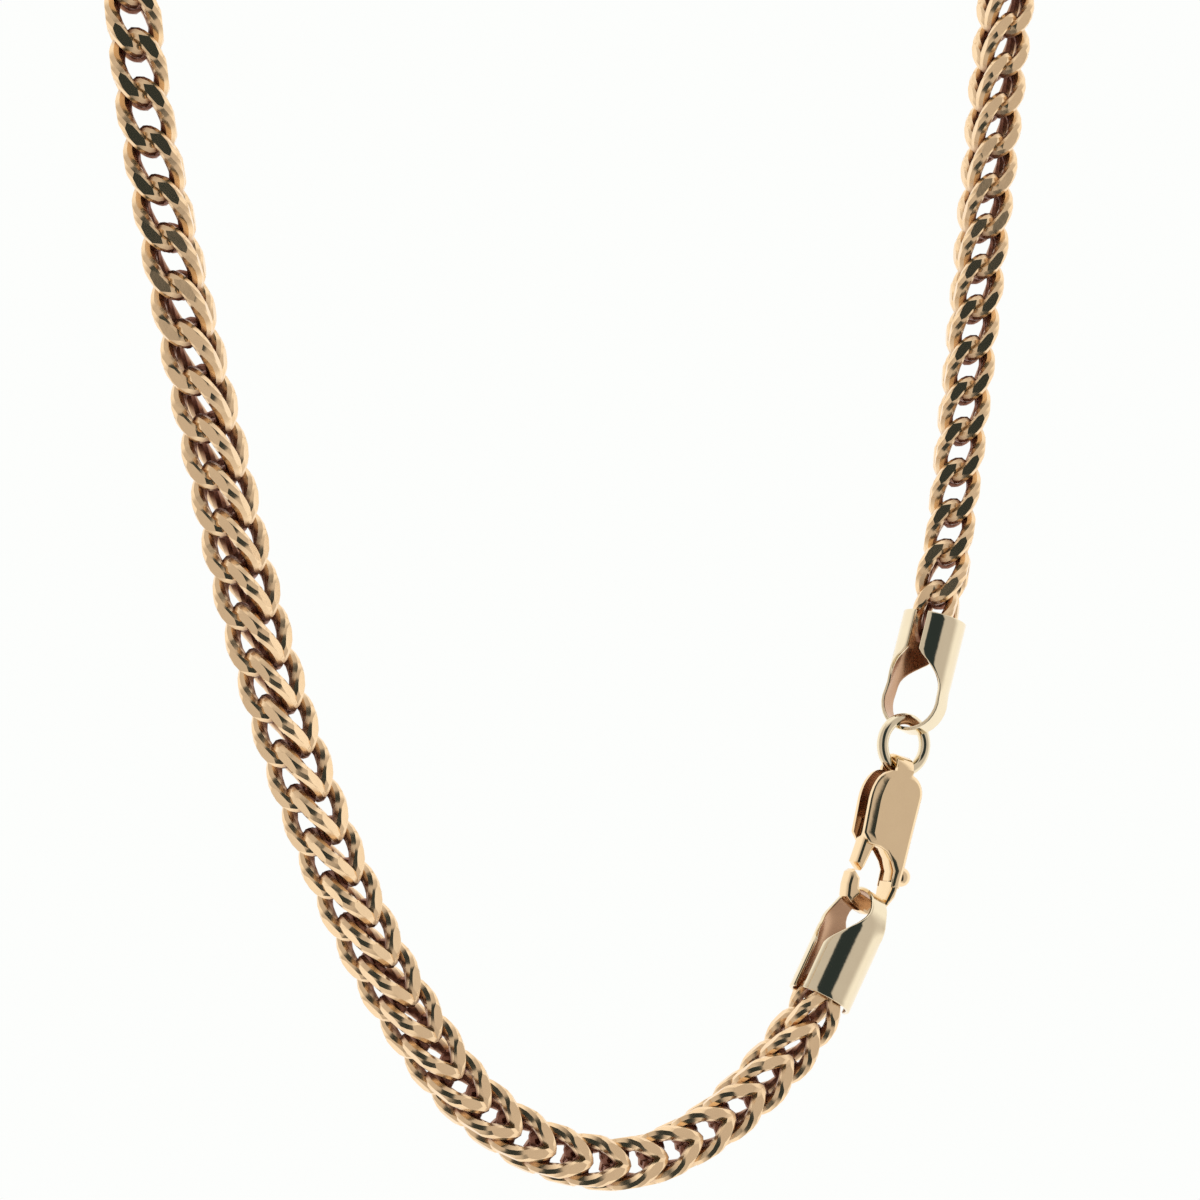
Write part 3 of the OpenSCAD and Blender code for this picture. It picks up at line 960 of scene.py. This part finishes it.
class NECKLACE_OT_stage(bpy.types.Operator):
    """Set up the floor, the surroundings' light and the camera"""

    bl_idname = "necklace.stage"
    bl_label = "Stage"

    def execute(self, context):
        stage = context.scene.necklace_stage
        self.floor(stage)
        towards = self.camera(context, stage)
        self.surroundings(context, stage, towards)
        context.scene.view_settings.view_transform = "Standard"
        return {"FINISHED"}

    @staticmethod
    def floor(stage):
        """A round pale floor, which the polished metal doesn't mirror."""
        bm = bmesh.new()
        bmesh.ops.create_circle(
            bm, cap_ends=True, segments=FLOOR_SIDES, radius=stage.floor_radius,
            matrix=Matrix.Translation((0, 0, stage.floor_height)))
        mesh = bpy.data.meshes.new("floor")
        bm.to_mesh(mesh)
        bm.free()
        floor = bpy.data.objects.new("floor", mesh)
        bpy.context.collection.objects.link(floor)
        pale = bpy.data.materials.new("Floor")
        pale.use_nodes = True
        nodes, links = pale.node_tree.nodes, pale.node_tree.links
        nodes.remove(nodes["Principled BSDF"])
        glow = nodes.new("ShaderNodeEmission")
        glow.inputs["Color"].default_value = (*stage.backdrop, 1)
        seen = nodes.new("ShaderNodeLightPath")
        shown = nodes.new("ShaderNodeMixShader")
        links.new(seen.outputs["Is Camera Ray"], shown.inputs["Fac"])
        links.new(nodes.new("ShaderNodeBsdfTransparent").outputs["BSDF"], shown.inputs[1])
        links.new(glow.outputs["Emission"], shown.inputs[2])
        links.new(shown.outputs["Shader"], nodes["Material Output"].inputs["Surface"])
        mesh.materials.append(pale)

    @staticmethod
    def camera(context, stage):
        """Places the camera and returns the direction from the necklace to it."""
        towards = Vector((
            math.sin(stage.azimuth) * math.cos(stage.elevation),
            -math.cos(stage.azimuth) * math.cos(stage.elevation), math.sin(stage.elevation)))
        data = bpy.data.cameras.new("camera")
        data.angle = stage.field_of_view
        data.clip_start = 0.01
        camera = bpy.data.objects.new("camera", data)
        bpy.context.collection.objects.link(camera)
        camera.location = Vector(stage.look_at) + stage.distance * towards
        camera.rotation_euler = towards.to_track_quat("Z", "Y").to_euler()
        context.scene.camera = camera
        return towards

    @staticmethod
    def surroundings(context, stage, towards):
        """Light all round, weaker on the camera's side, with a dark patch behind the camera."""
        world = bpy.data.worlds.new("Surroundings")
        world.use_nodes = True
        context.scene.world = world
        tree = world.node_tree
        nodes, links = tree.nodes, tree.links
        nodes.clear()
        direction = nodes.new("ShaderNodeTexCoord").outputs["Generated"]

        def along(axis):
            """The part of the direction that points along an axis."""
            made = nodes.new("ShaderNodeVectorMath")
            made.operation = "DOT_PRODUCT"
            links.new(direction, made.inputs[0])
            made.inputs[1].default_value = axis
            return made.outputs["Value"]

        def fade(angle, limits):
            """1 up to the first limit in degrees, and down to 0 at the second."""
            made = nodes.new("ShaderNodeMapRange")
            made.interpolation_type = "SMOOTHSTEP"
            links.new(angle, made.inputs["Value"])
            for name, limit in zip(("From Min", "From Max"), limits):
                made.inputs[name].default_value = math.radians(limit)
            made.inputs["To Min"].default_value = 1
            made.inputs["To Max"].default_value = 0
            return made.outputs["Result"]

        def patch(middle, limits):
            """A patch on the horizon, round a middle in degrees from the camera's side."""
            aside = maths(tree, "SUBTRACT", turned, math.radians(middle))
            return maths(tree, "MULTIPLY", fade(maths(tree, "ABSOLUTE", aside), limits[0]),
                         fade(height, limits[1]))

        ahead = Vector((towards.x, towards.y, 0)).normalized()
        beside = Vector((-ahead.y, ahead.x, 0))
        turned = maths(tree, "ARCTAN2", along(beside), along(ahead))
        height = maths(tree, "ABSOLUTE", maths(tree, "ARCSINE", along(Vector((0, 0, 1)))))
        colour = mixed(tree, patch(0, WARM_PATCH), (*stage.light, 1), (*stage.warm_light, 1))
        colour = mixed(tree, patch(DARK_MIDDLE, DARK_PATCH), colour, (*stage.dark, 1))
        seen = nodes.new("ShaderNodeLightPath").outputs["Is Camera Ray"]
        light = nodes.new("ShaderNodeBackground")
        links.new(mixed(tree, seen, colour, (*stage.backdrop, 1)), light.inputs["Color"])
        output = nodes.new("ShaderNodeOutputWorld")
        links.new(light.outputs["Background"], output.inputs["Surface"])


class NECKLACE_PT_panel(bpy.types.Panel):
    """The necklace's sizes and the buttons that build it"""

    bl_idname = "NECKLACE_PT_panel"
    bl_label = "Franco Chain Necklace"
    bl_space_type = "VIEW_3D"
    bl_region_type = "UI"
    bl_category = "Necklace"

    def draw(self, context):
        layout = self.layout
        for settings, operators in GROUPS:
            group = getattr(context.scene, settings)
            box = layout.box()
            for name in group.__annotations__:
                box.prop(group, name)
            for operator in operators:
                box.operator(operator)


# Each group of settings with the operators that read it, in the order in which they are run
GROUPS = (
    ("necklace_finish", ()),
    ("necklace_chain", ("necklace.chain",)),
    ("necklace_hardware", ("necklace.jump_ring", "necklace.end_caps", "necklace.clasp")),
    ("necklace_stage", ("necklace.stage",)),
)
SETTINGS = {
    "necklace_finish": FinishSettings,
    "necklace_chain": ChainSettings,
    "necklace_hardware": HardwareSettings,
    "necklace_stage": StageSettings,
}
CLASSES = (
    *SETTINGS.values(), NECKLACE_OT_chain, NECKLACE_OT_jump_ring, NECKLACE_OT_end_caps,
    NECKLACE_OT_clasp, NECKLACE_OT_stage, NECKLACE_PT_panel,
)


def register():
    """Registers the add-on's classes and its settings on the scene."""
    for cls in CLASSES:
        bpy.utils.register_class(cls)
    for name, group in SETTINGS.items():
        setattr(bpy.types.Scene, name, PointerProperty(type=group))


def unregister():
    """Takes back what register did."""
    for name in SETTINGS:
        delattr(bpy.types.Scene, name)
    for cls in reversed(CLASSES):
        bpy.utils.unregister_class(cls)


def main():
    """Builds the scene."""
    register()
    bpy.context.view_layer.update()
    for _, operators in GROUPS:
        for operator in operators:
            group, name = operator.split(".")
            getattr(getattr(bpy.ops, group), name)()


if __name__ == "__main__":
    main()
